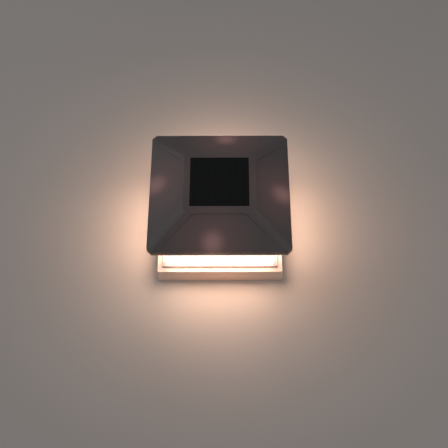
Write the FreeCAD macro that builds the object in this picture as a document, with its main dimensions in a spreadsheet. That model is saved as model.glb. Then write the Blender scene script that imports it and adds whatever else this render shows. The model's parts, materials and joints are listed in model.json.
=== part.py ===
import FreeCAD, Part
import math
import os
import Sketcher

# A square solar fence light, switched off or on by a slider under its cap.
# Frame: millimetres, +Z up, origin at the middle of the base's underside, front face towards -Y.
# The base sleeves over a square fence post. The head stands in the base's collar on four pegs and
# lifts straight off. The head's tray carries the lens, the LEDs, the control board and the battery bay.

SIZES = {
    # the whole light
    "cap_side": 148.0,
    # base
    "cap_overhang": 6.35,
    "base_height": 17.7,
    "base_wall": 3.0,
    "base_draft": 0.6,
    "base_corner_radius": 1.8,
    "base_edge_radius": 0.7,
    "deck_thickness": 3.0,
    "deck_rib_height": 3.0,
    "deck_rib_width": 2.4,
    "deck_rib_offset": 22.0,
    "ledge_width": 6.35,
    "collar_height": 2.6,
    "collar_wall": 2.3,
    "collar_draft": 0.6,
    "collar_corner_radius": 1.4,
    "post_screw_spacing": 80.0,
    "post_screw_hole_radius": 2.25,
    "post_screw_boss_radius": 6.0,
    "peg_boss_radius": 4.6,
    "drain_radius": 1.75,
    "drain_offset": 41.0,
    # lens
    "lens_clearance": 0.5,
    "lens_wall": 2.5,
    "lens_corner_radius": 1.5,
    "lens_flange_width": 6.0,
    "lens_flange_thickness": 2.0,
    "column_radius": 3.6,
    "column_inset": 6.0,
    "peg_radius": 2.5,
    "peg_length": 5.0,
    "peg_fit": 0.05,
    "flute_radius": 3.2,
    "flute_depth": 0.7,
    "flute_pitch": 6.4,
    # cap
    "cap_corner_clip": 4.6,
    "cap_edge_radius": 0.6,
    "light_gap": 46.8,
    "lip_height": 8.2,
    "lip_wall": 2.5,
    "roof_rise": 17.8,
    "roof_wall": 2.2,
    "frame_side": 75.0,
    "frame_corner_clip": 3.0,
    "hip_radius": 8.0,
    "field_setback": 1.5,
    "field_rim_gap": 2.0,
    "field_depth": 1.0,
    "field_hip_band": 7.8,
    "field_bend_radius": 8.0,
    "well_depth": 3.2,
    "well_clearance": 0.4,
    "lead_hole_radius": 4.0,
    "lead_hole_offset": 20.0,
    "post_radius": 3.5,
    "post_inset": 9.5,
    # solar panel
    "panel_side": 60.7,
    "foam_thickness": 0.6,
    "foam_width": 5.0,
    "panel_board_thickness": 1.2,
    "cell_thickness": 0.2,
    "cell_margin": 1.6,
    "cell_gap": 0.5,
    "glass_thickness": 1.0,
    # tray
    "tray_recess": 0.5,
    "tray_thickness": 2.5,
    "tray_clearance": 0.3,
    "tray_collar_wall": 1.8,
    "tray_collar_height": 3.0,
    "cup_radius": 4.6,
    "cup_height": 1.5,
    "cup_floor": 1.8,
    "seal_width": 2.0,
    "gasket_thickness": 1.0,
    "body_gap": 0.3,
    # screws
    "screw_radius": 1.4,
    "screw_hole_radius": 1.7,
    "screw_length": 7.0,
    "screw_head_radius": 2.7,
    "screw_head_height": 1.7,
    "small_screw_radius": 1.0,
    "small_screw_length": 5.0,
    "small_screw_head_radius": 1.9,
    "small_screw_head_height": 1.3,
    # battery bay and lid
    "battery_radius": 7.25,
    "battery_length": 50.5,
    "battery_nub_radius": 2.75,
    "battery_nub_height": 1.0,
    "battery_offset": 26.0,
    "battery_clearance": 0.4,
    "sleeve_thickness": 0.15,
    "sleeve_setback": 0.5,
    "contact_room": 2.6,
    "contact_thickness": 0.4,
    "contact_width": 9.0,
    "plus_boss_radius": 2.2,
    "minus_boss_radius": 3.6,
    "tab_reach": 2.5,
    "tab_lift": 1.0,
    "tab_height": 3.6,
    "bay_wall": 1.5,
    "bay_drop": 4.0,
    "lid_thickness": 1.8,
    "lid_seal_thickness": 0.8,
    "lid_seal_width": 1.2,
    "hinge_offset": 3.2,
    "hinge_pin_radius": 1.0,
    "hinge_fit": 0.05,
    "knuckle_radius": 2.2,
    "knuckle_length": 24.0,
    "ear_thickness": 3.0,
    "latch_width": 12.0,
    "latch_thickness": 1.2,
    "latch_height": 5.0,
    # electronics
    "led_board_side": 19.0,
    "board_thickness": 1.2,
    "led_board_standoff": 3.5,
    "led_standoff_spacing": 10.2,
    "led_radius": 1.5,
    "led_length": 3.8,
    "led_flange": 0.4,
    "led_flange_thickness": 1.0,
    "led_pin_spacing": 2.0,
    "led_pin_width": 0.5,
    "led_shift": 5.0,
    "led_setback": 2.0,
    "led_drop": 2.6,
    "led_lead_hole_radius": 2.0,
    "control_board_length": 46.0,
    "control_board_width": 24.0,
    "control_board_offset": 20.0,
    "standoff_height": 2.5,
    "standoff_radius": 2.6,
    "chip_length": 5.0,
    "chip_width": 4.0,
    "chip_height": 1.6,
    "chip_x": 9.0,
    "chip_y": 3.0,
    "inductor_radius": 3.0,
    "inductor_waist_radius": 2.3,
    "inductor_height": 4.5,
    "inductor_flange": 0.8,
    "inductor_x": 9.0,
    "inductor_y": 5.0,
    "capacitor_radius": 2.0,
    "capacitor_height": 5.6,
    "capacitor_foot_radius": 1.6,
    "capacitor_foot_height": 0.6,
    "capacitor_x": 13.0,
    "capacitor_y": 6.0,
    # internal wires
    "lead_radius": 0.6,
    "pad_inset": 3.0,
    "panel_pad_offset": 1.8,
    "panel_lead_offset": 5.0,
    "panel_lead_sway": 2.5,
    "battery_lead_run": 12.0,
    "battery_lead_rise": 6.0,
    "led_lead_offset": 1.0,
    "led_pad_offset": 2.6,
    "led_lead_rise": 5.0,
    # switch
    "switch_offset": 40.0,
    "switch_length": 12.0,
    "switch_width": 6.0,
    "switch_height": 5.0,
    "slider_travel": 4.0,
    "slider_length": 4.0,
    "slider_width": 3.0,
    "slider_drop": 1.6,
    "slider_stem": 2.0,
    "groove_width": 0.4,
    "groove_depth": 0.4,
    "slot_clearance": 0.3,
}

doc = FreeCAD.newDocument("fence_light")
dims = doc.addObject("Spreadsheet::Sheet", "dims")
for row, (size_name, size) in enumerate(SIZES.items(), start=1):
    dims.set(f"A{row}", size_name)
    dims.set(f"B{row}", str(size))
    dims.setAlias(f"B{row}", size_name)
doc.recompute()

# ---- places worked out from the sizes, as formulas ---------------------------------------------

CAP_HALF = "(dims.cap_side / 2)"
DECK_LOW = "(dims.base_height - dims.deck_thickness)"
POST_SEAT = f"({DECK_LOW} - dims.deck_rib_height)"
BASE_HALF = f"({CAP_HALF} - dims.cap_overhang)"
SOCKET_HALF = f"({BASE_HALF} - dims.base_wall)"
COLLAR_HALF = f"({BASE_HALF} - dims.ledge_width)"
COLLAR_FOOT = f"({COLLAR_HALF} + dims.collar_draft)"
COLLAR_INSIDE = f"({COLLAR_HALF} - dims.collar_wall)"
COLLAR_TOP = "(dims.base_height + dims.collar_height)"
SCREW_AT = "(dims.post_screw_spacing / 2)"

LENS_HALF = f"({COLLAR_INSIDE} - dims.lens_clearance)"
LENS_INSIDE = f"({LENS_HALF} - dims.lens_wall)"
LENS_FOOT = "(dims.base_height + dims.body_gap)"
COLUMN_AT = f"({LENS_HALF} - dims.column_inset)"

LIP_INSIDE = f"({CAP_HALF} - dims.lip_wall)"
INSIDE_CLIP = "(dims.cap_corner_clip - (2 - sqrt(2)) * dims.lip_wall)"
LIP_LOW = "(dims.base_height + dims.light_gap)"
RIM = f"({LIP_LOW} + dims.lip_height)"
ROOF_TOP = f"({RIM} + dims.roof_rise)"
FRAME_HALF = "(dims.frame_side / 2)"
SLOPE_RUN = f"({CAP_HALF} - {FRAME_HALF})"
SLOPE = f"(dims.roof_rise / {SLOPE_RUN})"
UNDER_DROP = f"(dims.roof_wall * sqrt(1 + {SLOPE} ^ 2))"
UNDER_LOW = f"({RIM} + dims.lip_wall * {SLOPE} - {UNDER_DROP})"
WELL_FLOOR = f"({ROOF_TOP} - dims.well_depth)"
CEILING = f"({WELL_FLOOR} - dims.roof_wall)"
CEILING_HALF = f"({LIP_INSIDE} - ({CEILING} - {UNDER_LOW}) / {SLOPE})"
WELL_HALF = "(dims.panel_side / 2 + dims.well_clearance)"
POST_AT = f"({LIP_INSIDE} - dims.post_inset)"

TRAY_LOW = f"({LIP_LOW} + dims.tray_recess)"
TRAY_TOP = f"({TRAY_LOW} + dims.tray_thickness)"
TRAY_HALF = f"({LIP_INSIDE} - dims.tray_clearance)"
CUP_TOP = f"({TRAY_TOP} + dims.cup_height)"
LENS_TOP = f"({TRAY_LOW} - dims.gasket_thickness)"

BAY_LOW = f"({TRAY_LOW} - dims.bay_drop)"
BATTERY_AT = f"({BAY_LOW} + dims.body_gap + dims.battery_radius)"
BAY_INSIDE_HIGH = f"({BATTERY_AT} + dims.battery_radius + dims.battery_clearance)"
BAY_HALF_LENGTH = "(dims.battery_length / 2 + dims.contact_room)"
BAY_HALF_WIDTH = "(dims.battery_radius + dims.battery_clearance)"
BAY_BACK = f"(dims.battery_offset + {BAY_HALF_WIDTH} + dims.bay_wall)"
BAY_FRONT = f"(dims.battery_offset - {BAY_HALF_WIDTH} - dims.bay_wall)"
SEAL_TOP = f"({BAY_LOW} - dims.body_gap)"
LID_TOP = f"({SEAL_TOP} - dims.lid_seal_thickness)"
LID_LOW = f"({LID_TOP} - dims.lid_thickness)"
HINGE_Y = f"({BAY_BACK} + dims.hinge_offset)"
HINGE_Z = f"({LID_TOP} - dims.lid_thickness / 2)"
HINGE_REACH = "(dims.knuckle_length / 2 + dims.body_gap + dims.ear_thickness)"

SMALL_PILOT = "(dims.small_screw_length - dims.board_thickness)"
LED_BOARD_TOP = f"({TRAY_LOW} - dims.led_board_standoff)"
LED_BOARD_LOW = f"({LED_BOARD_TOP} - dims.board_thickness)"
LED_STANDOFF_AT = "(dims.led_standoff_spacing / 2)"
CONTROL_LOW = f"({TRAY_TOP} + dims.standoff_height)"
CONTROL_TOP = f"({CONTROL_LOW} + dims.board_thickness)"
PANEL_BOARD_LOW = f"({WELL_FLOOR} + dims.foam_thickness)"
CELL_LOW = f"({PANEL_BOARD_LOW} + dims.panel_board_thickness)"
GLASS_LOW = f"({CELL_LOW} + dims.cell_thickness)"

CORNERS = ((1, 1), (-1, 1), (-1, -1), (1, -1))


def number(formula):
    """The value of a formula, as a plain number."""
    return float(dims.evalExpression(str(formula)))


def signed(sign, formula):
    """The formula, or its negative."""
    return f"({sign} * {formula})"


# ---- sketches and body features ----------------------------------------------------------------

def new_body(name):
    body = doc.addObject("PartDesign::Body", name)
    body.Label = name
    return body


def origin_feature(body, role):
    return [item for item in body.Origin.OriginFeatures if item.Role == role][0]


def attach(body, name, height="0", plane="XY_Plane"):
    """An empty sketch on one of the body's own planes, raised by height."""
    sketch = body.newObject("Sketcher::SketchObject", name)
    sketch.AttachmentSupport = [(origin_feature(body, plane), "")]
    sketch.MapMode = "FlatFace"
    sketch.setExpression(".AttachmentOffset.Base.z", height)
    return sketch


def fix_point(sketch, geometry, end, x, y):
    """Ties one end of a sketch line to a place given as two formulas."""
    for kind, formula in (("DistanceX", x), ("DistanceY", y)):
        index = sketch.addConstraint(Sketcher.Constraint(kind, -1, 1, geometry, end, number(formula)))
        label = f"at_{geometry}_{end}_{kind[-1]}"
        sketch.renameConstraint(index, label)
        sketch.setExpression(f"Constraints.{label}", str(formula))


def add_loop(sketch, corners):
    """A closed run of straight lines through corners given as pairs of formulas."""
    points = [FreeCAD.Vector(number(x), number(y), 0) for x, y in corners]
    first = sketch.GeometryCount
    count = len(points)
    for index in range(count):
        sketch.addGeometry(Part.LineSegment(points[index], points[(index + 1) % count]))
    for index in range(count):
        following = first + (index + 1) % count
        sketch.addConstraint(Sketcher.Constraint("Coincident", first + index, 2, following, 1))
    for index, (x, y) in enumerate(corners):
        fix_point(sketch, first + index, 1, x, y)


def add_circle(sketch, x, y, radius):
    middle = FreeCAD.Vector(number(x), number(y), 0)
    circle = sketch.addGeometry(Part.Circle(middle, FreeCAD.Vector(0, 0, 1), number(radius)))
    fix_point(sketch, circle, 3, x, y)
    index = sketch.addConstraint(Sketcher.Constraint("Radius", circle, number(radius)))
    sketch.renameConstraint(index, f"radius_{circle}")
    sketch.setExpression(f"Constraints.radius_{circle}", str(radius))


def rectangle(x_low, x_high, y_low, y_high):
    return [(x_low, y_low), (x_high, y_low), (x_high, y_high), (x_low, y_high)]


def square(half):
    low = signed(-1, half)
    return rectangle(low, half, low, half)


def clipped_square(half, clip):
    """A square with its four corners cut off; clip is the cut along each side."""
    short = f"({half} - {clip})"
    corners = []
    for x, y in CORNERS:
        pair = [(signed(x, half), signed(y, short)), (signed(x, short), signed(y, half))]
        corners += pair if x * y > 0 else pair[::-1]
    return corners


def at_corners(reach, radius):
    """Four like circles, one towards each corner."""
    return [(signed(x, reach), signed(y, reach), radius) for x, y in CORNERS]


def drawn(body, name, height, loops=(), circles=(), plane="XY_Plane"):
    sketch = attach(body, name, height, plane)
    for corners in loops:
        add_loop(sketch, corners)
    for x, y, radius in circles:
        add_circle(sketch, x, y, radius)
    return sketch


def pad(body, sketch, length, down=False):
    feature = body.newObject("PartDesign::Pad", f"{sketch.Name}_pad")
    feature.Profile = sketch
    feature.setExpression("Length", length)
    feature.Reversed = down
    sketch.Visibility = False
    doc.recompute()
    return feature


def pocket(body, sketch, length, up=False):
    """Cuts down from the sketch, or up, and makes sure that something was cut."""
    before = body.Shape.Volume
    feature = body.newObject("PartDesign::Pocket", f"{sketch.Name}_pocket")
    feature.Profile = sketch
    feature.setExpression("Length", length)
    feature.Reversed = up
    doc.recompute()
    if not body.Shape.Volume < before:
        raise ValueError(f"{feature.Name} cuts nothing")
    return feature


def loft(body, kind, lower, upper):
    feature = body.newObject(f"PartDesign::{kind}", f"{lower.Name}_loft")
    feature.Profile = lower
    feature.Sections = [upper]
    feature.Ruled = True
    doc.recompute()
    return feature


def four_fold(body, *features):
    """Repeats features at quarter turns round the upright axis."""
    pattern = body.newObject("PartDesign::PolarPattern", f"{features[0].Name}_four")
    pattern.Originals = list(features)
    pattern.Axis = (origin_feature(body, "Z_Axis"), [""])
    pattern.Angle = 360
    pattern.Occurrences = len(CORNERS)
    body.Tip = pattern
    doc.recompute()
    return pattern


def round_edges(body, name, radius, wanted):
    """A fillet on the edges whose middle point and direction the test accepts."""
    base = body.Tip
    chosen = []
    for index, edge in enumerate(base.Shape.Edges, start=1):
        middle = edge.valueAt((edge.FirstParameter + edge.LastParameter) / 2)
        along = edge.tangentAt((edge.FirstParameter + edge.LastParameter) / 2)
        if wanted(middle, along):
            chosen.append(f"Edge{index}")
    feature = body.newObject("PartDesign::Fillet", name)
    feature.Base = (base, chosen)
    feature.setExpression("Radius", radius)
    doc.recompute()
    return feature


# a drafted corner's edge leans, so this share of it along Z still counts as upright
UPRIGHT = 0.9


def upright_corner(half):
    """Accepts the upright edges at the corners of a square."""
    reach = number(half)

    def wanted(middle, along):
        at_corner = abs(abs(middle.x) - reach) < 0.01 and abs(abs(middle.y) - reach) < 0.01
        return at_corner and abs(along.z) > UPRIGHT
    return wanted


def level_outline(height, half):
    """Accepts the level edges of a square's outline at one height."""
    at_height = number(height)
    reach = number(half)

    def wanted(middle, along):
        outer = max(abs(middle.x), abs(middle.y)) > reach
        return abs(middle.z - at_height) < 0.01 and outer and abs(along.z) < 0.01
    return wanted


def hip_line():
    """Accepts the slanted edges that run from the rim's clipped corners up to the frame's."""
    middle_height = number(f"({RIM} + {ROOF_TOP}) / 2")

    def wanted(middle, along):
        slanted = min(abs(along.x), abs(along.y), abs(along.z)) > 0.2
        return slanted and abs(middle.z - middle_height) < 0.01
    return wanted


# ---- plain solids ------------------------------------------------------------------------------

def place(solid, x, y, z):
    for letter, formula in zip("xyz", (x, y, z)):
        solid.setExpression(f".Placement.Base.{letter}", str(formula))


def block(name, low, size):
    """A box from its lowest corner and its three sizes, all formulas."""
    solid = doc.addObject("Part::Box", name)
    for side, formula in zip(("Length", "Width", "Height"), size):
        solid.setExpression(side, str(formula))
    place(solid, *low)
    return solid


def centred_block(name, middle_x, middle_y, low_z, size):
    low = (f"{middle_x} - {size[0]} / 2", f"{middle_y} - {size[1]} / 2", low_z)
    return block(name, low, size)


TURNS = {
    "+X": FreeCAD.Rotation(FreeCAD.Vector(0, 1, 0), 90),
    "-X": FreeCAD.Rotation(FreeCAD.Vector(0, 1, 0), -90),
    "+Y": FreeCAD.Rotation(FreeCAD.Vector(1, 0, 0), -90),
    "-Y": FreeCAD.Rotation(FreeCAD.Vector(1, 0, 0), 90),
    "+Z": FreeCAD.Rotation(),
    "-Z": FreeCAD.Rotation(FreeCAD.Vector(1, 0, 0), 180),
}


def rod(name, foot, radius, length, way="+Z"):
    solid = doc.addObject("Part::Cylinder", name)
    solid.setExpression("Radius", str(radius))
    solid.setExpression("Height", str(length))
    solid.Placement = FreeCAD.Placement(FreeCAD.Vector(), TURNS[way])
    place(solid, *foot)
    return solid


def ball(name, middle, radius):
    solid = doc.addObject("Part::Sphere", name)
    solid.setExpression("Radius", str(radius))
    place(solid, *middle)
    return solid


def fuse(name, *solids):
    joined = doc.addObject("Part::MultiFuse", name)
    joined.Label = name
    joined.Shapes = list(solids)
    joined.Refine = True
    return joined


def cut(name, base, tool):
    rest = doc.addObject("Part::Cut", name)
    rest.Label = name
    rest.Base = base
    rest.Tool = tool
    return rest


def group(name, solids):
    """Like pieces that share a node, each its own solid."""
    compound = doc.addObject("Part::Compound", name)
    compound.Label = name
    compound.Links = list(solids)
    return compound


def ring(name, outer_half, width, low_z, height):
    """A square ring of even width, standing on low_z."""
    inner_half = f"({outer_half} - {width})"
    outer = centred_block(f"{name}_outer", "0", "0", low_z, (f"(2 * {outer_half})",) * 2 + (height,))
    inner = centred_block(f"{name}_inner", "0", "0", low_z, (f"(2 * {inner_half})",) * 2 + (height,))
    return cut(name, outer, inner)


# the cross in a screw's head, as shares of the head's height and radius
CROSS_DEPTH = 0.6
CROSS_REACH = 1.2
CROSS_WIDTH = 0.25


def screw(name, seat, way, radius, length, head_radius, head_height):
    """A pan-head screw: its head's underside is at seat and its shank runs the given way."""
    back = {"+Z": "-Z", "-Z": "+Z"}[way]
    sign = 1 if way == "+Z" else -1
    x, y, z = seat
    head = rod(f"{name}_head", seat, head_radius, head_height, back)
    shank = rod(f"{name}_shank", seat, radius, length, way)
    whole = fuse(f"{name}_whole", head, shank)
    depth = f"({head_height} * {CROSS_DEPTH})"
    face = f"({z} - ({sign}) * {head_height})"
    low = face if sign > 0 else f"({face} - {depth})"
    long_side = f"({head_radius} * {CROSS_REACH})"
    narrow = f"({head_radius} * {CROSS_WIDTH})"
    across = centred_block(f"{name}_slot_x", x, y, low, (long_side, narrow, depth))
    along = centred_block(f"{name}_slot_y", x, y, low, (narrow, long_side, depth))
    return cut(name, whole, fuse(f"{name}_cross", across, along))


# ---- base --------------------------------------------------------------------------------------

def make_base_housing():
    body = new_body("base_housing")
    skirt_foot = drawn(body, "skirt_foot", "0", [square(BASE_HALF)])
    skirt_top = drawn(body, "skirt_top", "dims.base_height", [square(f"({BASE_HALF} - dims.base_draft)")])
    loft(body, "AdditiveLoft", skirt_foot, skirt_top)
    skirt_middle = f"({BASE_HALF} - dims.base_draft / 2)"
    round_edges(body, "skirt_corners", "dims.base_corner_radius", upright_corner(skirt_middle))
    collar_foot = drawn(body, "collar_foot", "dims.base_height", [square(COLLAR_FOOT)])
    collar_rim = drawn(body, "collar_rim", COLLAR_TOP, [square(COLLAR_HALF)])
    loft(body, "AdditiveLoft", collar_foot, collar_rim)
    collar_middle = f"({COLLAR_HALF} + dims.collar_draft / 2)"
    round_edges(body, "collar_corners", "dims.collar_corner_radius", upright_corner(collar_middle))
    ledge_middle = f"(({BASE_HALF} + {COLLAR_FOOT}) / 2)"
    round_edges(body, "ledge_edge", "dims.base_edge_radius", level_outline("dims.base_height", ledge_middle))
    mouth = drawn(body, "collar_mouth", COLLAR_TOP, [square(COLLAR_INSIDE)])
    pocket(body, mouth, "dims.collar_height")
    pocket(body, drawn(body, "post_socket", "0", [square(SOCKET_HALF)]), DECK_LOW, up=True)

    half_rib = "(dims.deck_rib_width / 2)"
    rib_sides = rectangle(
        signed(-1, f"({SOCKET_HALF} + dims.base_wall / 2)"), f"({SOCKET_HALF} + dims.base_wall / 2)",
        f"(dims.deck_rib_offset - {half_rib})", f"(dims.deck_rib_offset + {half_rib})")
    rib = pad(body, drawn(body, "deck_rib", POST_SEAT, [rib_sides]), "dims.deck_rib_height")
    four_fold(body, rib)
    bosses = at_corners(SCREW_AT, "dims.post_screw_boss_radius") + at_corners(COLUMN_AT, "dims.peg_boss_radius")
    pad(body, drawn(body, "deck_bosses", POST_SEAT, circles=bosses), "dims.deck_rib_height")

    holes = at_corners(SCREW_AT, "dims.post_screw_hole_radius")
    holes += at_corners(COLUMN_AT, "dims.peg_radius + dims.peg_fit")
    for x, y in ((1, 0), (0, 1), (-1, 0), (0, -1)):
        holes.append((signed(x, "dims.drain_offset"), signed(y, "dims.drain_offset"), "dims.drain_radius"))
    drilled = drawn(body, "deck_holes", "dims.base_height", circles=holes)
    pocket(body, drilled, "dims.deck_thickness + dims.deck_rib_height")
    return body


# ---- lens --------------------------------------------------------------------------------------

def make_lens():
    body = new_body("lens")
    tall = f"({LENS_TOP} - {LENS_FOOT})"
    pad(body, drawn(body, "lens_band", LENS_FOOT, [square(LENS_HALF)]), tall)
    round_edges(body, "lens_corners", "dims.lens_corner_radius", upright_corner(LENS_HALF))
    pocket(body, drawn(body, "lens_hollow", LENS_TOP, [square(LENS_INSIDE)]), tall)

    count = int((2 * number(COLUMN_AT) - 2 * number("dims.column_radius")) // number("dims.flute_pitch"))
    middle = f"({LENS_INSIDE} - dims.flute_radius + dims.flute_depth)"
    flutes = []
    for index in range(count):
        along = f"(dims.flute_pitch * {index - (count - 1) / 2})"
        flutes.append((along, middle, "dims.flute_radius"))
    clear_foot = f"({LENS_FOOT} + dims.lens_flange_thickness)"
    sketch = drawn(body, "flute", clear_foot, circles=flutes)
    four_fold(body, pocket(body, sketch, f"{LENS_TOP} - {clear_foot}", up=True))

    flange_inside = f"({LENS_INSIDE} - dims.lens_flange_width)"
    flange_outside = f"({LENS_HALF} - dims.lens_wall / 2)"
    flange = drawn(body, "lens_flange", LENS_FOOT, [square(flange_outside), square(flange_inside)])
    pad(body, flange, "dims.lens_flange_thickness")
    pad(body, drawn(body, "columns", LENS_FOOT, circles=at_corners(COLUMN_AT, "dims.column_radius")), tall)
    pegs = drawn(body, "pegs", LENS_FOOT, circles=at_corners(COLUMN_AT, "dims.peg_radius"))
    pad(body, pegs, "dims.peg_length", down=True)
    pilots = drawn(body, "column_pilots", LENS_TOP, circles=at_corners(COLUMN_AT, "dims.screw_radius"))
    pocket(body, pilots, "dims.screw_length")
    return body


# ---- cap ---------------------------------------------------------------------------------------

def add_field(body):
    """The shallow field on the front slope: deepest under the frame, running out near the rim."""
    run = f"({SLOPE_RUN} - dims.field_setback - dims.field_rim_gap)"
    rise = f"({SLOPE} * {run} - dims.field_depth)"
    stretch = f"sqrt(1 + ({rise} / {run}) ^ 2)"
    top = f"({run} * {stretch})"
    half_rim = f"({CAP_HALF} - dims.field_rim_gap - sqrt(2) * dims.field_hip_band)"
    half_top = f"({half_rim} - {run})"
    tangent = f"(dims.field_bend_radius * tan(atan({stretch}) / 2))"
    diagonal = f"sqrt(1 + {stretch} ^ 2)"
    bend_x = f"({half_top} + {tangent} / {diagonal})"
    bend_y = f"({top} - {tangent} * {stretch} / {diagonal})"
    straight = f"({half_top} - {tangent})"

    sketch = attach(body, "field")
    sketch.AttachmentOffset = FreeCAD.Placement(
        FreeCAD.Vector(0, 0, 0), FreeCAD.Rotation(FreeCAD.Vector(1, 0, 0), 20))
    sketch.setExpression(".AttachmentOffset.Base.y", f"(dims.field_rim_gap - {CAP_HALF})")
    sketch.setExpression(".AttachmentOffset.Base.z", f"({RIM} + {SLOPE} * dims.field_rim_gap)")
    sketch.setExpression(".AttachmentOffset.Rotation.Angle", f"atan({rise} / {run})")
    corners = [
        (half_rim, "0"), (bend_x, bend_y), (straight, top),
        (signed(-1, straight), top), (signed(-1, bend_x), bend_y), (signed(-1, half_rim), "0")]
    points = [FreeCAD.Vector(number(x), number(y), 0) for x, y in corners]
    radius = number("dims.field_bend_radius")
    right_side = sketch.addGeometry(Part.LineSegment(points[0], points[1]))
    top_side = sketch.addGeometry(Part.LineSegment(points[2], points[3]))
    left_side = sketch.addGeometry(Part.LineSegment(points[4], points[5]))
    rim_side = sketch.addGeometry(Part.LineSegment(points[5], points[0]))
    turn = math.atan(number(stretch))
    arcs = []
    for sign in (1, -1):
        centre = FreeCAD.Vector(sign * number(straight), number(top) - radius, 0)
        start = math.pi / 2 - turn if sign > 0 else math.pi / 2
        circle = Part.Circle(centre, FreeCAD.Vector(0, 0, 1), radius)
        arcs.append(sketch.addGeometry(Part.ArcOfCircle(circle, start, start + turn)))
    for line, end, (x, y) in (
            (right_side, 1, corners[0]), (right_side, 2, corners[1]), (top_side, 1, corners[2]),
            (top_side, 2, corners[3]), (left_side, 1, corners[4]), (left_side, 2, corners[5])):
        fix_point(sketch, line, end, x, y)
    sketch.addConstraint(Sketcher.Constraint("Coincident", rim_side, 1, left_side, 2))
    sketch.addConstraint(Sketcher.Constraint("Coincident", rim_side, 2, right_side, 1))
    sketch.addConstraint(Sketcher.Constraint("Coincident", arcs[0], 1, right_side, 2))
    sketch.addConstraint(Sketcher.Constraint("Tangent", arcs[0], 2, top_side, 1))
    sketch.addConstraint(Sketcher.Constraint("Tangent", arcs[1], 1, top_side, 2))
    sketch.addConstraint(Sketcher.Constraint("Coincident", arcs[1], 2, left_side, 1))
    doc.recompute()
    four_fold(body, pocket(body, sketch, "dims.field_depth * 3", up=True))


def make_cap_shell():
    body = new_body("cap_shell")
    lip = drawn(body, "lip", LIP_LOW, [clipped_square(CAP_HALF, "dims.cap_corner_clip")])
    pad(body, lip, "dims.lip_height")
    eaves = drawn(body, "eaves", RIM, [clipped_square(CAP_HALF, "dims.cap_corner_clip")])
    frame = drawn(body, "frame", ROOF_TOP, [clipped_square(FRAME_HALF, "dims.frame_corner_clip")])
    loft(body, "AdditiveLoft", eaves, frame)
    round_edges(body, "hips", "dims.hip_radius", hip_line())
    add_field(body)
    round_edges(body, "rim_edge", "dims.cap_edge_radius", level_outline(RIM, LIP_INSIDE))
    round_edges(body, "lip_edge", "dims.cap_edge_radius", level_outline(LIP_LOW, LIP_INSIDE))

    hollow = drawn(body, "lip_hollow", LIP_LOW, [clipped_square(LIP_INSIDE, INSIDE_CLIP)])
    pocket(body, hollow, f"{UNDER_LOW} - {LIP_LOW}", up=True)
    lower = drawn(body, "under_low", UNDER_LOW, [clipped_square(LIP_INSIDE, INSIDE_CLIP)])
    upper = drawn(body, "under_high", CEILING, [clipped_square(CEILING_HALF, "dims.frame_corner_clip")])
    loft(body, "SubtractiveLoft", lower, upper)
    pocket(body, drawn(body, "well", ROOF_TOP, [square(WELL_HALF)]), "dims.well_depth")
    hole = drawn(body, "lead_hole", WELL_FLOOR,
                 circles=[("0", signed(-1, "dims.lead_hole_offset"), "dims.lead_hole_radius")])
    pocket(body, hole, "dims.roof_wall")

    # each post ends inside the roof's thickness where its outer edge meets the slope
    roof_over_post = f"({RIM} + ({CAP_HALF} - {POST_AT} - dims.post_radius) * {SLOPE})"
    posts = drawn(body, "screw_posts", CUP_TOP, circles=at_corners(POST_AT, "dims.post_radius"))
    pad(body, posts, f"{roof_over_post} - {UNDER_DROP} / 3 - {CUP_TOP}")
    pilot_depth = "(dims.screw_length - dims.cup_floor)"
    pilots = drawn(body, "post_pilots", CUP_TOP, circles=at_corners(POST_AT, "dims.screw_radius"))
    pocket(body, pilots, pilot_depth, up=True)
    return body


# ---- solar panel -------------------------------------------------------------------------------

def make_panel_adhesive():
    return ring("panel_adhesive", "(dims.panel_side / 2)", "dims.foam_width", WELL_FLOOR, "dims.foam_thickness")


def make_panel_board():
    size = ("dims.panel_side", "dims.panel_side", "dims.panel_board_thickness")
    return centred_block("panel_board", "0", "0", PANEL_BOARD_LOW, size)


def make_solar_cells():
    """Four cell strips side by side, joined in series by the board under them."""
    count = 4
    reach = "(dims.panel_side - 2 * dims.cell_margin)"
    width = f"(({reach} - {count - 1} * dims.cell_gap) / {count})"
    strips = []
    for index in range(count):
        low_x = f"(dims.cell_margin - dims.panel_side / 2 + {index} * ({width} + dims.cell_gap))"
        low = (low_x, "(dims.cell_margin - dims.panel_side / 2)", CELL_LOW)
        strips.append(block(f"solar_cell_{index + 1}", low, (width, reach, "dims.cell_thickness")))
    return group("solar_cells", strips)


def make_solar_glass():
    size = ("dims.panel_side", "dims.panel_side", "dims.glass_thickness")
    return centred_block("solar_glass", "0", "0", GLASS_LOW, size)


# ---- tray --------------------------------------------------------------------------------------

def make_tray():
    body = new_body("tray")
    plate = drawn(body, "tray_plate", TRAY_LOW, [clipped_square(TRAY_HALF, INSIDE_CLIP)])
    pad(body, plate, "dims.tray_thickness")
    collar_inside = f"({LENS_HALF} + dims.tray_clearance)"
    collar_outside = f"({collar_inside} + dims.tray_collar_wall)"
    collar = drawn(body, "tray_collar", TRAY_LOW, [square(collar_outside), square(collar_inside)])
    pad(body, collar, "dims.tray_collar_height", down=True)
    cups = drawn(body, "cups", TRAY_TOP, circles=at_corners(POST_AT, "dims.cup_radius"))
    pad(body, cups, "dims.cup_height")
    head_room = at_corners(POST_AT, "dims.screw_head_radius + dims.slot_clearance")
    pocket(body, drawn(body, "counterbores", TRAY_LOW, circles=head_room),
           f"{CUP_TOP} - dims.cup_floor - {TRAY_LOW}", up=True)
    holes = at_corners(POST_AT, "dims.screw_hole_radius") + at_corners(COLUMN_AT, "dims.screw_hole_radius")
    pocket(body, drawn(body, "screw_holes", CUP_TOP, circles=holes), f"{CUP_TOP} - {TRAY_LOW}")
    add_battery_bay(body)
    add_board_supports(body)
    return body


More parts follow.
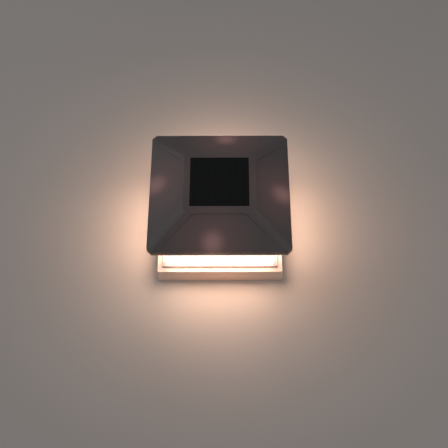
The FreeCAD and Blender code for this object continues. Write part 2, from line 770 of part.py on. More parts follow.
def add_battery_bay(body):
    wall_x = f"({BAY_HALF_LENGTH} + dims.bay_wall)"
    outside = rectangle(signed(-1, wall_x), wall_x, BAY_FRONT, BAY_BACK)
    bay = drawn(body, "bay", BAY_LOW, [outside])
    pad(body, bay, f"{BAY_INSIDE_HIGH} + dims.bay_wall - {BAY_LOW}")
    inside = rectangle(signed(-1, BAY_HALF_LENGTH), BAY_HALF_LENGTH,
                       f"({BAY_FRONT} + dims.bay_wall)", f"({BAY_BACK} - dims.bay_wall)")
    pocket(body, drawn(body, "bay_mouth", BAY_LOW, [inside]), f"{BAY_INSIDE_HIGH} - {BAY_LOW}", up=True)
    # a window over each contact lets its solder tab out towards the control board
    tab_room = f"({BAY_HALF_LENGTH} - dims.contact_room)"
    for sign in (1, -1):
        ends = sorted([signed(sign, tab_room), signed(sign, BAY_HALF_LENGTH)], key=number)
        window = rectangle(ends[0], ends[1], BAY_FRONT, f"({BAY_FRONT} + dims.bay_wall)")
        name = "tab_window_right" if sign > 0 else "tab_window_left"
        height = f"({TRAY_TOP} + dims.contact_width)"
        pocket(body, drawn(body, name, height, [window]), "dims.contact_width")
    # hinge ears behind the bay: round at the foot, a gap for the lid's knuckle, the pin's bore through both
    sides = rectangle(f"({HINGE_Y} - dims.knuckle_radius)", f"({HINGE_Y} + dims.knuckle_radius)",
                      HINGE_Z, f"({TRAY_LOW} + dims.tray_thickness / 2)")
    left = signed(-1, HINGE_REACH)
    pad(body, drawn(body, "ears", left, [sides], plane="YZ_Plane"), f"2 * {HINGE_REACH}")
    foot = [(HINGE_Y, HINGE_Z, "dims.knuckle_radius")]
    pad(body, drawn(body, "ear_feet", left, circles=foot, plane="YZ_Plane"), f"2 * {HINGE_REACH}")
    half_gap = "(dims.knuckle_length / 2 + dims.body_gap)"
    between = rectangle(signed(-1, half_gap), half_gap, f"({HINGE_Y} - 2 * dims.knuckle_radius)",
                        f"({HINGE_Y} + 2 * dims.knuckle_radius)")
    pocket(body, drawn(body, "knuckle_gap", TRAY_LOW, [between]), f"2 * ({TRAY_LOW} - {HINGE_Z})")
    bore = [(HINGE_Y, HINGE_Z, "dims.hinge_pin_radius")]
    pocket(body, drawn(body, "hinge_bore", left, circles=bore, plane="YZ_Plane"), f"2 * {HINGE_REACH}", up=True)
    # catch for the lid's latch: a low ridge on the bay's front wall
    ridge = rectangle("-(dims.latch_width / 2)", "(dims.latch_width / 2)",
                      f"({BAY_FRONT} - dims.slot_clearance)", f"({BAY_FRONT} + dims.bay_wall / 2)")
    pad(body, drawn(body, "catch_ridge", f"({BAY_LOW} + dims.latch_thickness / 2)", [ridge]),
        "dims.latch_thickness")


def add_board_supports(body):
    half_length = "(dims.control_board_length / 2 - dims.standoff_radius)"
    board_y = signed(-1, "dims.control_board_offset")
    posts = [(signed(sign, half_length), board_y, "dims.standoff_radius") for sign in (1, -1)]
    pilots = [(x, y, "dims.small_screw_radius") for x, y, radius in posts]
    pad(body, drawn(body, "standoff", TRAY_TOP, circles=posts), "dims.standoff_height")
    pocket(body, drawn(body, "standoff_pilot", CONTROL_LOW, circles=pilots), SMALL_PILOT)
    posts = [(signed(sign, LED_STANDOFF_AT), "0", "dims.standoff_radius") for sign in (1, -1)]
    pilots = [(x, y, "dims.small_screw_radius") for x, y, radius in posts]
    pad(body, drawn(body, "led_standoff", TRAY_LOW, circles=posts), "dims.led_board_standoff", down=True)
    pocket(body, drawn(body, "led_standoff_pilot", LED_BOARD_TOP, circles=pilots), SMALL_PILOT, up=True)
    pocket(body, drawn(body, "led_lead_hole", TRAY_TOP, circles=[("0", "0", "dims.led_lead_hole_radius")]),
           "dims.tray_thickness")
    half_slot = "((dims.slider_stem + dims.slider_travel) / 2 + dims.slot_clearance)"
    half_wide = "(dims.slider_stem / 2 + dims.slot_clearance)"
    middle_y = signed(-1, "dims.switch_offset")
    slot = rectangle(signed(-1, half_slot), half_slot,
                     f"({middle_y} - {half_wide})", f"({middle_y} + {half_wide})")
    pocket(body, drawn(body, "slider_slot", TRAY_TOP, [slot]), "dims.tray_thickness")


def make_tray_seal():
    """A square foam cord between the tray's edge and the slope over it."""
    outer = f"({TRAY_HALF} - dims.tray_clearance)"
    height = f"({UNDER_LOW} - {TRAY_TOP})"
    square_ring = ring("tray_seal_square", outer, "dims.seal_width", TRAY_TOP, height)
    clip = f"({INSIDE_CLIP} + 2 * dims.tray_clearance)"
    body = new_body("seal_clip")
    pad(body, drawn(body, "seal_clip_plan", TRAY_TOP, [clipped_square(outer, clip)]), height)
    common = doc.addObject("Part::Common", "tray_seal")
    common.Label = "tray_seal"
    common.Base = square_ring
    common.Tool = body
    return common


def make_lens_gasket():
    """The ring squeezed between the lens's top edge and the tray, with room for the columns."""
    width = "(dims.lens_wall - dims.flute_depth)"
    return ring("lens_gasket", LENS_HALF, width, LENS_TOP, "dims.gasket_thickness")


def make_tray_screws():
    seat_z = f"({CUP_TOP} - dims.cup_floor)"
    screws = []
    for index, (x, y) in enumerate(CORNERS, start=1):
        seat = (signed(x, POST_AT), signed(y, POST_AT), seat_z)
        screws.append(screw(f"tray_screw_{index}", seat, "+Z", "dims.screw_radius", "dims.screw_length",
                            "dims.screw_head_radius", "dims.screw_head_height"))
    return group("tray_screws", screws)


def make_lens_screws():
    length = "(dims.tray_thickness + dims.gasket_thickness + dims.screw_length)"
    screws = []
    for index, (x, y) in enumerate(CORNERS, start=1):
        seat = (signed(x, COLUMN_AT), signed(y, COLUMN_AT), TRAY_TOP)
        screws.append(screw(f"lens_screw_{index}", seat, "-Z", "dims.screw_radius", length,
                            "dims.screw_head_radius", "dims.screw_head_height"))
    return group("lens_screws", screws)


# ---- battery and lid ---------------------------------------------------------------------------

def make_battery_cell():
    """A steel can lying along X, with its nub to the right."""
    can_length = "(dims.battery_length - dims.battery_nub_height)"
    can_radius = "(dims.battery_radius - dims.sleeve_thickness)"
    start = ("-(dims.battery_length / 2)", "dims.battery_offset", BATTERY_AT)
    can = rod("battery_can", start, can_radius, can_length, "+X")
    nub = rod("battery_nub", start, "dims.battery_nub_radius", "dims.battery_length", "+X")
    return fuse("battery_cell", can, nub)


def make_battery_sleeve():
    length = "(dims.battery_length - dims.battery_nub_height - 2 * dims.sleeve_setback)"
    start = ("(dims.sleeve_setback - dims.battery_length / 2)", "dims.battery_offset", BATTERY_AT)
    outer = rod("sleeve_outer", start, "dims.battery_radius", length, "+X")
    inner = rod("sleeve_inner", start, "(dims.battery_radius - dims.sleeve_thickness)", length, "+X")
    return cut("battery_sleeve", outer, inner)


def make_contact(name, sign, boss_radius):
    """A plate at the end of the bay, a solder tab out of its window and a boss that meets the cell."""
    wall = signed(sign, BAY_HALF_LENGTH)
    low_x = wall if sign < 0 else f"({wall} - dims.contact_thickness)"
    low_y = "(dims.battery_offset - dims.contact_width / 2)"
    low_z = f"({BATTERY_AT} - dims.contact_width / 2)"
    plate = block(f"{name}_plate", (low_x, low_y, low_z),
                  ("dims.contact_thickness", "dims.contact_width", "dims.contact_width"))
    tab_y = f"({BAY_FRONT} - dims.tab_reach)"
    tab_end = f"({low_y} + dims.contact_width / 4)"
    tab = block(f"{name}_tab", (low_x, tab_y, f"({TRAY_TOP} + dims.tab_lift)"),
                ("dims.contact_thickness", f"({tab_end} - {tab_y})", "dims.tab_height"))
    way = "+X" if sign < 0 else "-X"
    boss = rod(f"{name}_boss", (wall, "dims.battery_offset", BATTERY_AT), boss_radius, "dims.contact_room", way)
    return fuse(name, plate, tab, boss)


def make_battery_door():
    wall_x = f"({BAY_HALF_LENGTH} + dims.bay_wall)"
    arm = "(dims.knuckle_length / 2)"
    plate = block("door_plate", (signed(-1, wall_x), f"({BAY_FRONT} - dims.slot_clearance)", LID_LOW),
                  (f"(2 * {wall_x})", f"({BAY_BACK} - {BAY_FRONT} + dims.slot_clearance)", "dims.lid_thickness"))
    bridge = block("door_bridge", (signed(-1, arm), BAY_BACK, LID_LOW),
                   ("dims.knuckle_length", "dims.hinge_offset", "dims.lid_thickness"))
    knuckle = rod("door_knuckle", (signed(-1, arm), HINGE_Y, HINGE_Z), "dims.knuckle_radius",
                  "dims.knuckle_length", "+X")
    latch_low = f"({BAY_FRONT} - 2 * dims.slot_clearance - dims.latch_thickness)"
    latch = block("door_latch", ("-(dims.latch_width / 2)", latch_low, LID_LOW),
                  ("dims.latch_width", "dims.latch_thickness", "(dims.latch_height + dims.lid_thickness)"))
    foot = block("door_latch_foot", ("-(dims.latch_width / 2)", latch_low, LID_LOW),
                 ("dims.latch_width", "(dims.latch_thickness + 2 * dims.slot_clearance)", "dims.lid_thickness"))
    whole = fuse("door_whole", plate, bridge, knuckle, latch, foot)
    bore = rod("door_bore", (signed(-1, arm), HINGE_Y, HINGE_Z), "(dims.hinge_pin_radius + dims.hinge_fit)",
               "dims.knuckle_length", "+X")
    return cut("battery_door", whole, bore)


def make_door_seal():
    outer_x = f"({BAY_HALF_LENGTH} + dims.bay_wall)"
    inner_x = f"({outer_x} - dims.lid_seal_width)"
    tall = "dims.lid_seal_thickness"
    outer = block("door_seal_outer", (signed(-1, outer_x), BAY_FRONT, LID_TOP),
                  (f"(2 * {outer_x})", f"({BAY_BACK} - {BAY_FRONT})", tall))
    inner = block("door_seal_inner", (signed(-1, inner_x), f"({BAY_FRONT} + dims.lid_seal_width)", LID_TOP),
                  (f"(2 * {inner_x})", f"({BAY_BACK} - {BAY_FRONT} - 2 * dims.lid_seal_width)", tall))
    return cut("door_seal", outer, inner)


def make_door_pin():
    start = (signed(-1, HINGE_REACH), HINGE_Y, HINGE_Z)
    return rod("door_pin", start, "dims.hinge_pin_radius", f"(2 * {HINGE_REACH})", "+X")


# ---- boards and their parts --------------------------------------------------------------------

def make_led_board():
    size = ("dims.led_board_side", "dims.led_board_side", "dims.board_thickness")
    plate = centred_block("led_board_plate", "0", "0", LED_BOARD_LOW, size)
    holes = []
    for sign in (1, -1):
        at = (signed(sign, LED_STANDOFF_AT), "0", LED_BOARD_LOW)
        holes.append(rod(f"led_board_hole_{sign + 2}", at, "dims.small_screw_radius", "dims.board_thickness"))
    return cut("led_board", plate, fuse("led_board_holes", *holes))


def make_leds():
    """Four LEDs under the board in a pinwheel, each looking at one side of the lens."""
    edge = "(dims.led_board_side / 2 - dims.led_setback)"
    shift = "dims.led_shift"
    spots = (("-X", (signed(-1, edge), shift)), ("+Y", (shift, edge)),
             ("+X", (edge, signed(-1, shift))), ("-Y", (signed(-1, shift), signed(-1, edge))))
    height = f"({LED_BOARD_LOW} - dims.led_drop)"
    lamps = []
    for index, (way, (x, y)) in enumerate(spots, start=1):
        sign = 1 if way[0] == "+" else -1
        tip_x = f"({x} + {sign} * dims.led_length)" if way[1] == "X" else x
        tip_y = f"({y} + {sign} * dims.led_length)" if way[1] == "Y" else y
        barrel = rod(f"led_{index}_barrel", (x, y, height), "dims.led_radius", "dims.led_length", way)
        flange = rod(f"led_{index}_flange", (x, y, height), "(dims.led_radius + dims.led_flange)",
                     "dims.led_flange_thickness", way)
        dome = ball(f"led_{index}_dome", (tip_x, tip_y, height), "dims.led_radius")
        pins = []
        for step in (-1, 1):
            aside = f"{step} * dims.led_pin_spacing / 2"
            ahead = f"{sign} * dims.led_flange_thickness / 2"
            pin_x = f"({x} + {aside})" if way[1] == "Y" else f"({x} + {ahead})"
            pin_y = f"({y} + {aside})" if way[1] == "X" else f"({y} + {ahead})"
            pins.append(centred_block(f"led_{index}_pin_{step + 2}", pin_x, pin_y, height,
                                      ("dims.led_pin_width", "dims.led_pin_width", "dims.led_drop")))
        lamps.append(fuse(f"led_{index}", barrel, flange, dome, *pins))
    return group("leds", lamps)


def make_led_board_screws():
    screws = []
    for sign in (1, -1):
        seat = (signed(sign, LED_STANDOFF_AT), "0", LED_BOARD_LOW)
        screws.append(screw(f"led_board_screw_{sign + 2}", seat, "+Z", "dims.small_screw_radius",
                            "dims.small_screw_length", "dims.small_screw_head_radius",
                            "dims.small_screw_head_height"))
    return group("led_board_screws", screws)


BOARD_SCREW_X = "(dims.control_board_length / 2 - dims.standoff_radius)"
BOARD_Y = "(-dims.control_board_offset)"


def make_control_board():
    size = ("dims.control_board_length", "dims.control_board_width", "dims.board_thickness")
    plate = centred_block("control_board_plate", "0", BOARD_Y, CONTROL_LOW, size)
    holes = []
    for sign in (1, -1):
        at = (signed(sign, BOARD_SCREW_X), BOARD_Y, CONTROL_LOW)
        holes.append(rod(f"control_board_hole_{sign + 2}", at, "dims.small_screw_radius", "dims.board_thickness"))
    return cut("control_board", plate, fuse("control_board_holes", *holes))


def make_control_board_screws():
    screws = []
    for sign in (1, -1):
        seat = (signed(sign, BOARD_SCREW_X), BOARD_Y, CONTROL_TOP)
        screws.append(screw(f"control_board_screw_{sign + 2}", seat, "-Z", "dims.small_screw_radius",
                            "dims.small_screw_length", "dims.small_screw_head_radius",
                            "dims.small_screw_head_height"))
    return group("control_board_screws", screws)


def make_driver_chip():
    size = ("dims.chip_length", "dims.chip_width", "dims.chip_height")
    return centred_block("driver_chip", "dims.chip_x", f"({BOARD_Y} + dims.chip_y)", CONTROL_TOP, size)


def make_inductor():
    """A small drum inductor: two flanges with a waist of wire between them."""
    at = ("(-dims.inductor_x)", f"({BOARD_Y} - dims.inductor_y)")
    top_flange = f"({CONTROL_TOP} + dims.inductor_height - dims.inductor_flange)"
    low = rod("inductor_low", (*at, CONTROL_TOP), "dims.inductor_radius", "dims.inductor_flange")
    waist = rod("inductor_waist", (*at, CONTROL_TOP), "dims.inductor_waist_radius", "dims.inductor_height")
    high = rod("inductor_high", (*at, top_flange), "dims.inductor_radius", "dims.inductor_flange")
    return fuse("inductor", low, waist, high)


def make_capacitor():
    at = ("dims.capacitor_x", f"({BOARD_Y} - dims.capacitor_y)")
    can_length = "(dims.capacitor_height - dims.capacitor_foot_height)"
    can = rod("capacitor_can", (*at, f"({CONTROL_TOP} + dims.capacitor_foot_height)"), "dims.capacitor_radius",
              can_length)
    foot = rod("capacitor_foot", (*at, CONTROL_TOP), "dims.capacitor_foot_radius", "dims.capacitor_foot_height")
    return fuse("capacitor", can, foot)


# ---- switch ------------------------------------------------------------------------------------

SWITCH_Y = "(-dims.switch_offset)"
SLIDER_REST = "(-dims.slider_travel / 2)"


def make_switch_body():
    case = centred_block("switch_case", "0", SWITCH_Y, TRAY_TOP,
                         ("dims.switch_length", "dims.switch_width", "dims.switch_height"))
    room_x = "(dims.slider_stem + dims.slider_travel + 2 * dims.slot_clearance)"
    room_y = "(dims.slider_stem + 2 * dims.slot_clearance)"
    room = centred_block("switch_room", "0", SWITCH_Y, TRAY_TOP,
                         (room_x, room_y, "(dims.switch_height / 2)"))
    return cut("switch_body", case, room)


def make_switch_knob():
    """The slider: a stem up through the tray's slot and a ribbed pad under it."""
    stem_low = f"({TRAY_LOW} - dims.body_gap - dims.slider_drop)"
    stem_high = f"({TRAY_TOP} + dims.switch_height / 2 - dims.body_gap)"
    stem = centred_block("slider_stem", SLIDER_REST, SWITCH_Y, stem_low,
                         ("dims.slider_stem", "dims.slider_stem", f"({stem_high} - {stem_low})"))
    thumb = centred_block("slider_pad", SLIDER_REST, SWITCH_Y, stem_low,
                          ("dims.slider_length", "dims.slider_width", "dims.slider_drop"))
    whole = fuse("slider_whole", stem, thumb)
    grooves = []
    for step in (-1, 0, 1):
        middle = f"({SLIDER_REST} + {step} * dims.slider_length / 4)"
        grooves.append(centred_block(f"slider_groove_{step + 2}", middle, SWITCH_Y, stem_low,
                                     ("dims.groove_width", "dims.slider_width", "dims.groove_depth")))
    return cut("switch_knob", whole, fuse("slider_grooves", *grooves))


# ---- internal wires ----------------------------------------------------------------------------

# how much of the shorter run beside a corner its arc takes up, a little under half
BEND_SHARE = 0.45


def tube(points, radius):
    """A round wire along straight runs joined by tangent arcs."""
    points = [FreeCAD.Vector(*point) for point in points]
    edges = []
    here = points[0]
    for before, corner, after in zip(points, points[1:], points[2:]):
        inward = (corner - before).normalize()
        outward = (after - corner).normalize()
        turn = inward.getAngle(outward)
        shorter = min((corner - before).Length, (after - corner).Length)
        cut_back = BEND_SHARE * shorter
        bend = cut_back / math.tan(turn / 2)
        start = corner - inward * cut_back
        finish = corner + outward * cut_back
        centre = corner + (outward - inward).normalize() * (bend / math.cos(turn / 2))
        middle = centre + (corner - centre).normalize() * bend
        edges.append(Part.LineSegment(here, start).toShape())
        edges.append(Part.Arc(start, middle, finish).toShape())
        here = finish
    edges.append(Part.LineSegment(here, points[-1]).toShape())
    path = Part.Wire(edges)
    section = Part.Wire(Part.Circle(points[0], points[1] - points[0], radius).toShape())
    solid = path.makePipeShell([section], True, True)
    expected = math.pi * radius ** 2 * path.Length
    print(f"wire of {path.Length:.1f} mm, volume {solid.Volume / expected:.4f} of section times length")
    return solid


def make_leads(name, routes):
    radius = number("dims.lead_radius")
    leads = doc.addObject("Part::Feature", name)
    leads.Shape = Part.makeCompound([tube(route, radius) for route in routes])
    leads.Placement = FreeCAD.Placement()
    leads.Label = name
    return leads


def make_panel_leads():
    """From the panel's underside, through the hole in the well's floor, to the control board."""
    top = number(PANEL_BOARD_LOW)
    bottom = number(CONTROL_TOP)
    third = (top - bottom) / 3
    back = -number("dims.lead_hole_offset")
    front = back - number("dims.panel_lead_sway")
    routes = []
    for sign in (1, -1):
        near = sign * number("dims.panel_pad_offset")
        far = sign * number("dims.panel_lead_offset")
        routes.append([
            (near, back, top),
            (near, back, top - third),
            (far, front, bottom + third),
            (far, front, bottom)])
    return make_leads("panel_leads", routes)


def make_battery_leads():
    """From each contact's tab, over the tray, to the control board."""
    tab_x = number(f"({BAY_HALF_LENGTH} - dims.contact_thickness)")
    tab_y = number(f"({BAY_FRONT} - dims.tab_reach / 2)")
    tab_z = number(f"({TRAY_TOP} + dims.tab_lift + dims.tab_height / 2)")
    pad_y = number(f"({BOARD_Y} + dims.control_board_width / 2 - dims.pad_inset)")
    board_top = number(CONTROL_TOP)
    run = number("dims.battery_lead_run")
    rise = number("dims.battery_lead_rise")
    routes = []
    for sign in (1, -1):
        routes.append([
            (sign * tab_x, tab_y, tab_z),
            (sign * (tab_x - run / 2), tab_y, tab_z),
            (sign * (tab_x - run * 5 / 6), tab_y - run / 2, tab_z + rise / 2),
            (sign * (tab_x - run), pad_y + run / 2, tab_z + rise),
            (sign * (tab_x - run), pad_y, board_top + rise),
            (sign * (tab_x - run), pad_y, board_top)])
    return make_leads("battery_leads", routes)


def make_led_leads():
    """From the control board, over its edge and down through the tray to the LED board."""
    pad_y = number(f"({BOARD_Y} + dims.control_board_width / 2 - dims.pad_inset)")
    board_top = number(CONTROL_TOP)
    crown = board_top + number("dims.led_lead_rise")
    routes = []
    for sign in (1, -1):
        pad_x = sign * number("dims.led_pad_offset")
        hole_x = sign * number("dims.led_lead_offset")
        routes.append([
            (pad_x, pad_y, board_top),
            (pad_x, pad_y, crown),
            (hole_x, 0.0, crown),
            (hole_x, 0.0, number(LED_BOARD_TOP))])
    return make_leads("led_leads", routes)


# ---- the whole light ---------------------------------------------------------------------------

PIECES = [
    make_base_housing(),
    make_lens(),
    make_cap_shell(),
    make_panel_adhesive(),
    make_panel_board(),
    make_solar_cells(),
    make_solar_glass(),
    make_tray(),
    make_tray_seal(),
    make_tray_screws(),
    make_lens_gasket(),
    make_lens_screws(),
    make_battery_cell(),
    make_battery_sleeve(),
    make_contact("contact_plus", 1, "dims.plus_boss_radius"),
    make_contact("contact_minus", -1, "dims.minus_boss_radius"),
    make_battery_door(),
    make_door_seal(),
    make_door_pin(),
    make_led_board(),
    make_leds(),
    make_led_board_screws(),
    make_control_board(),
    make_control_board_screws(),
    make_driver_chip(),
    make_inductor(),
    make_capacitor(),
    make_switch_body(),
    make_switch_knob(),
    make_panel_leads(),
    make_battery_leads(),
    make_led_leads(),
]

doc.recompute()
for item in doc.Objects:
    if "Invalid" in item.State or "Error" in item.State:
        raise ValueError(f"{item.Label} failed: {item.State}")
for piece in PIECES:
    if piece.Shape.isNull() or not piece.Shape.isValid() or not piece.Shape.Solids:
        raise ValueError(f"{piece.Label} has no sound solid")

os.makedirs("parts", exist_ok=True)
for piece in PIECES:
    piece.Shape.exportStep(f"parts/{piece.Label}.step")
    print(f"{piece.Label}: {len(piece.Shape.Solids)} solid(s), {piece.Shape.Volume:.0f} mm3")
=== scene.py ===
import json
import math

import bmesh
import bpy
from mathutils import Matrix, Vector


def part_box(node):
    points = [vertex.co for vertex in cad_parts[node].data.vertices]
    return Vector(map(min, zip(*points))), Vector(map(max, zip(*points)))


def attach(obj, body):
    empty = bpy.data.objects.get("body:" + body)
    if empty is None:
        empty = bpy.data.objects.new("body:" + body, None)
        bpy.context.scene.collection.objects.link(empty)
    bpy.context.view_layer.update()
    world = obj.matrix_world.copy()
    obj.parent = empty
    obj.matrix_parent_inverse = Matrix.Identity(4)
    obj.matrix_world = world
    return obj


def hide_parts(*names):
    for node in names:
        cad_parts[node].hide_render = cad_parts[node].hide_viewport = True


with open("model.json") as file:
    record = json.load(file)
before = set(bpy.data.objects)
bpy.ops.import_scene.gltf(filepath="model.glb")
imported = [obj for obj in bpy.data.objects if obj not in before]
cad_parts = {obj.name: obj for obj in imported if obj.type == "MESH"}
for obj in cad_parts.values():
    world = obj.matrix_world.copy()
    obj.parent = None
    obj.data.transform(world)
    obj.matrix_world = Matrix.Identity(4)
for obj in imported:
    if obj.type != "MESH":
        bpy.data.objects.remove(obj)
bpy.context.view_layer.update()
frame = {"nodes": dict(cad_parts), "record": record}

# A square solar fence light, switched on, on a plain pale floor. Metres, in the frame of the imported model:
# +Z up, the front face towards -Y. Texture scales count features to a metre.

NODES = frame["nodes"]
SIDES = 4
X_AXIS, Y_AXIS, Z_AXIS = range(3)

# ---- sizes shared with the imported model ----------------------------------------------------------

COLLAR_HEIGHT = 0.0026
LIFT_GAP = 0.0003
FLANGE_WIDTH = 0.006
FLANGE_THICKNESS = 0.002
COLUMN_INSET = 0.006
COLUMN_RADIUS = 0.0036
PEG_RADIUS = 0.0025
LENS_WALL = 0.0025
SKIRT_WALL = 0.003
LENS_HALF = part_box("lens")[1].x
LENS_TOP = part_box("lens")[1].z
PEG_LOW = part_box("lens")[0].z
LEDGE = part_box("base_housing")[1].z - COLLAR_HEIGHT
BASE_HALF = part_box("base_housing")[1].x
LIP_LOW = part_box("cap_shell")[0].z
LENS_FOOT = LEDGE + LIFT_GAP
LENS_TALL = LENS_TOP - LENS_FOOT

# the band's row of petals
PETALS_A_SIDE = 7
PETAL_DEPTH = 0.0009
PETAL_MARGIN = 0.0028
PETAL_LOW = LENS_FOOT + PETAL_MARGIN
PETAL_HIGH = LENS_TOP - PETAL_MARGIN
LEAF_POWER = 0.75

# ---- camera --------------------------------------------------------------------------------------

IMAGE_WIDTH = 448
FOCAL_PIXELS = 850.4
SENSOR_WIDTH = 36.0
CAMERA_PLACE = Vector((0.0081, -0.5089, 0.8129))
CAMERA_DROP = math.radians(57.71)
CAMERA_YAW = math.radians(-0.42)
CAMERA_ROLL = math.radians(-0.48)


def make_camera():
    """The photograph's viewpoint, fitted to the light's own edges."""
    camera = bpy.data.objects.new("camera", bpy.data.cameras.new("camera"))
    bpy.context.scene.collection.objects.link(camera)
    camera.data.sensor_width = SENSOR_WIDTH
    camera.data.lens = FOCAL_PIXELS / IMAGE_WIDTH * SENSOR_WIDTH
    forward = Vector((
        math.sin(CAMERA_YAW) * math.cos(CAMERA_DROP),
        math.cos(CAMERA_YAW) * math.cos(CAMERA_DROP),
        -math.sin(CAMERA_DROP)))
    level = Vector((math.cos(CAMERA_YAW), -math.sin(CAMERA_YAW), 0.0))
    upward = level.cross(forward)
    right = math.cos(CAMERA_ROLL) * level + math.sin(CAMERA_ROLL) * upward
    up = math.cos(CAMERA_ROLL) * upward - math.sin(CAMERA_ROLL) * level
    turn = Matrix((right, up, -forward)).transposed()
    camera.matrix_world = Matrix.Translation(CAMERA_PLACE) @ turn.to_4x4()
    bpy.context.scene.camera = camera


# ---- materials -----------------------------------------------------------------------------------

class Finish:
    """One procedural material, built on a Principled shader in object coordinates."""

    def __init__(self, name):
        self.name = name
        self.material = bpy.data.materials.new(name)
        self.material.use_nodes = True
        self.tree = self.material.node_tree
        self.tree.nodes.clear()
        self.shader = self.node("ShaderNodeBsdfPrincipled")
        output = self.node("ShaderNodeOutputMaterial")
        self.tree.links.new(self.shader.outputs[0], output.inputs[0])
        self.place = self.node("ShaderNodeTexCoord").outputs["Object"]

    def node(self, kind, **settings):
        node = self.tree.nodes.new(kind)
        for key, value in settings.items():
            setattr(node, key, value)
        return node

    def feed(self, socket, value):
        """Links a socket to another, or sets it to a plain value."""
        if isinstance(value, bpy.types.NodeSocket):
            self.tree.links.new(value, socket)
        elif isinstance(value, (tuple, list)) and len(value) == 3 and socket.type == "RGBA":
            socket.default_value = (*value, 1.0)
        else:
            socket.default_value = value

    def set(self, **inputs):
        """Sets the shader's inputs; underscores in the names stand for spaces."""
        for key, value in inputs.items():
            self.feed(self.shader.inputs[key.replace("_", " ")], value)
        return self

    def maths(self, operation, *values):
        node = self.node("ShaderNodeMath", operation=operation)
        for socket, value in zip(node.inputs, values):
            self.feed(socket, value)
        return node.outputs[0]

    def axis(self, index):
        """The place along one axis."""
        node = self.node("ShaderNodeSeparateXYZ")
        self.feed(node.inputs[0], self.place)
        return node.outputs[index]

    def off_middle(self, index):
        """The distance from the light's middle plane across one axis."""
        return self.maths("ABSOLUTE", self.axis(index))

    def distance(self, spot_x, spot_y):
        """The distance from an upright line through the given place."""
        away_x = self.maths("SUBTRACT", self.axis(X_AXIS), spot_x)
        away_y = self.maths("SUBTRACT", self.axis(Y_AXIS), spot_y)
        square_x = self.maths("MULTIPLY", away_x, away_x)
        square_y = self.maths("MULTIPLY", away_y, away_y)
        return self.maths("SQRT", self.maths("ADD", square_x, square_y))

    def fingers(self, scale):
        """How far on from one fine line to the next, from 0 to 1; the lines run from left to right."""
        return self.maths("FRACT", self.maths("MULTIPLY", self.axis(Y_AXIS), scale))

    def stretched(self, scale):
        node = self.node("ShaderNodeMapping")
        self.feed(node.inputs["Vector"], self.place)
        node.inputs["Scale"].default_value = scale
        return node.outputs[0]

    def noise(self, scale, detail=3.0, rough=0.5, vector=None):
        node = self.node("ShaderNodeTexNoise")
        self.feed(node.inputs["Vector"], vector or self.place)
        node.inputs["Scale"].default_value = scale
        node.inputs["Detail"].default_value = detail
        node.inputs["Roughness"].default_value = rough
        return node.outputs[0]

    def cells(self, scale, feature="F1"):
        node = self.node("ShaderNodeTexVoronoi", feature=feature)
        self.feed(node.inputs["Vector"], self.place)
        node.inputs["Scale"].default_value = scale
        return node.outputs[0]

    def span(self, value, low, high, start=0.0, end=1.0):
        """Maps start..end of a value to low..high, and holds it there beyond both ends."""
        node = self.node("ShaderNodeMapRange")
        self.feed(node.inputs["Value"], value)
        node.inputs["From Min"].default_value = start
        node.inputs["From Max"].default_value = end
        self.feed(node.inputs["To Min"], low)
        self.feed(node.inputs["To Max"], high)
        return node.outputs[0]

    def ease(self, value, low, high, start=0.0, end=1.0):
        """Like span, but it leaves and arrives gently."""
        result = self.span(value, low, high, start, end)
        result.node.interpolation_type = "SMOOTHSTEP"
        return result

    def mix(self, factor, first, second):
        node = self.node("ShaderNodeMix", data_type="RGBA")
        self.feed(node.inputs["Factor"], factor)
        self.feed(node.inputs[6], first)
        self.feed(node.inputs[7], second)
        return node.outputs[2]

    def bump(self, height, depth, strength=1.0):
        """A bump of the given depth in metres."""
        node = self.node("ShaderNodeBump")
        node.inputs["Strength"].default_value = strength
        node.inputs["Distance"].default_value = depth
        self.feed(node.inputs["Height"], height)
        self.feed(self.shader.inputs["Normal"], node.outputs[0])
        return self


def shade(colour, factor):
    return tuple(channel * factor for channel in colour)


# the cap and the base are larger mouldings, with a slightly coarser and deeper grain than the small ones
CASING_GRAIN = {"grain": 2300.0, "depth": 0.00004}


def moulded(name, colour, rough=0.42, grain=2600.0, depth=0.00003, mottle=0.10):
    """Moulded plastic: fine spark-eroded grain, faint flow mottling and a roughness that wanders."""
    finish = Finish(name)
    flow = finish.noise(scale=38.0, detail=4.0)
    fine = finish.noise(grain, detail=2.0)
    rubbed = finish.noise(scale=160.0, detail=5.0)
    finish.set(
        Base_Color=finish.mix(flow, shade(colour, 1.0 - mottle), shade(colour, 1.0 + mottle)),
        Roughness=finish.span(rubbed, low=rough - 0.07, high=rough + 0.09), IOR=1.48)
    return finish.bump(fine, depth, strength=0.6)


def metal(name, colour, rough=0.3, fine_axis=Z_AXIS, fine_scale=1400.0):
    """Plated or turned metal, with fine marks that follow each other along one axis."""
    finish = Finish(name)
    scale = [60.0, 60.0, 60.0]
    scale[fine_axis] = fine_scale
    marks = finish.noise(1.0, vector=finish.stretched(scale))
    stain = finish.noise(scale=240.0, detail=4.0)
    finish.set(
        Base_Color=finish.mix(stain, shade(colour, 0.82), colour),
        Roughness=finish.span(marks, low=rough - 0.08, high=rough + 0.14), Metallic=1.0)
    return finish.bump(marks, depth=0.00001, strength=0.5)


def foam(name, colour):
    """Closed-cell foam or rubber: small pores."""
    finish = Finish(name)
    pores = finish.cells(scale=1800.0)
    finish.set(Base_Color=finish.mix(pores, shade(colour, 0.6), shade(colour, 1.3)), Roughness=0.85)
    return finish.bump(pores, depth=0.00015, strength=0.8)


def solder_mask(name, colour, copper):
    """A printed board: mask over faint copper tracks."""
    finish = Finish(name)
    tracks = finish.cells(scale=420.0, feature="DISTANCE_TO_EDGE")
    line = finish.ease(tracks, low=1.0, high=0.0, start=0.02, end=0.09)
    finish.set(Base_Color=finish.mix(line, colour, copper), Roughness=0.28, Coat_Weight=0.4)
    return finish.bump(line, depth=0.00004, strength=0.7)


